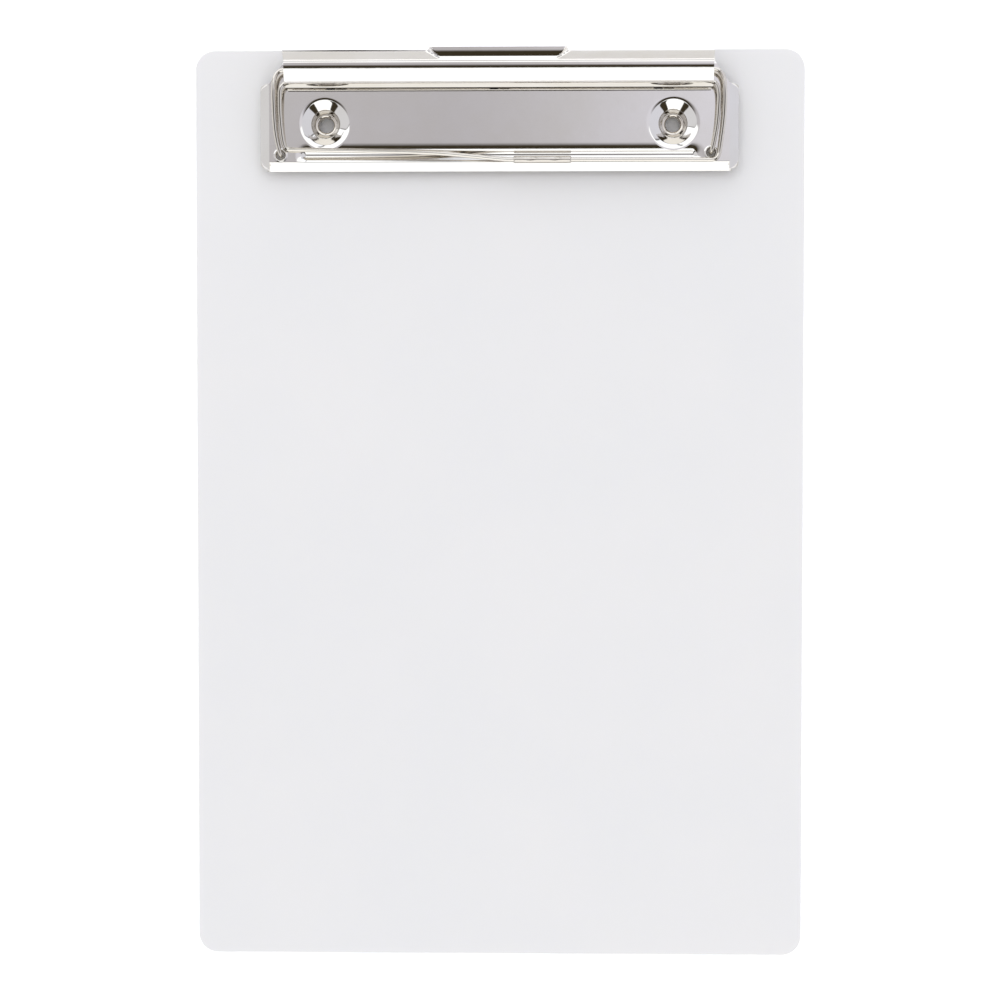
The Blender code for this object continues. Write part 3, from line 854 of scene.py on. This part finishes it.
def make_world():
    """Tall white panels all round with dark gaps between them, and a white ceiling with a grey strip."""
    world = World("studio")
    outward = world.add("ShaderNodeTexCoord").outputs["Generated"]
    x, y, z = world.add("ShaderNodeSeparateXYZ", {0: outward}).outputs
    turn = world.math("ARCTAN2", world.math("MULTIPLY", x, -1), world.math("MULTIPLY", y, -1))
    turn = world.math("ADD", world.math("DIVIDE", turn, 2 * math.pi), 0.5)
    stops = []
    for start, end, colour in PANELS:
        low, high = (start % 360) / 360, (end % 360) / 360
        if low > high:
            stops += [(0.0, colour), (high, colour), (high + 0.008, GAP), (low - 0.008, GAP), (low, colour)]
            stops += [(1.0, colour)]
        else:
            stops += [(low - PANEL_FADE, GAP), (low, colour), (high, colour), (high + PANEL_FADE, GAP)]
    walls = world.ramp(turn, sorted(stops, key=lambda stop: stop[0]))
    lit = world.within(x, 0, CEILING_HALF_WIDTH, 0.06)
    ceiling = world.mix(lit, (*GAP, 1), (*CEILING, 1))
    strip = world.ramp(world.span(x, 0, 1, -0.15, 0.15), STRIP)
    strip = world.mix(world.span(y, 0, 1, -0.11, 0.05), (*GAP, 1), strip)
    ceiling = world.mix(world.within(y, STRIP_MIDDLE, STRIP_HALF_DEPTH, 0.02), ceiling, strip)
    overhead = world.span(z, 0, 1, CEILING_START, CEILING_START + 0.02)
    colour = world.mix(overhead, walls, ceiling)
    background = world.tree.nodes["Background"]
    world.tree.links.new(colour, background.inputs["Color"])


def make_camera():
    """Nearly straight above, a little towards the clip and the right."""
    data = bpy.data.cameras.new("camera")
    data.lens = 73.8
    data.sensor_width = 36
    data.clip_start = 0.01
    camera = bpy.data.objects.new("camera", data)
    bpy.context.scene.collection.objects.link(camera)
    camera.location = (0.01143, 0.01735, 0.52341)
    camera.rotation_euler = (math.radians(-1.778), math.radians(1.234), math.radians(0.026))
    bpy.context.scene.camera = camera


def main():
    sheet = nickel("nickel_sheet", roughness=0.06, grain=0.0005)
    bright = nickel("nickel_bright", roughness=0.04, grain=0.0003, colour=(0.74, 0.71, 0.67))
    make_board(frosted_plastic())
    make_base_plate(sheet)
    make_lever(bright)
    make_wires(nickel("nickel_wire", roughness=0.08, grain=0.0006, colour=(0.64, 0.60, 0.54)))
    make_sleeve(nickel("nickel_sleeve", roughness=0.16, grain=0.0008, colour=(0.56, 0.52, 0.465)))
    make_rivets(nickel("nickel_rivet", roughness=0.12, grain=0.0006, colour=(0.66, 0.61, 0.54)))
    make_stage()
    make_world()
    make_camera()
    bpy.context.scene.view_settings.view_transform = "Standard"


main()
boxes = {"cad": cad_box, "visual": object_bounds()}
{name: [list(corner) for corner in box] for name, box in boxes.items()}
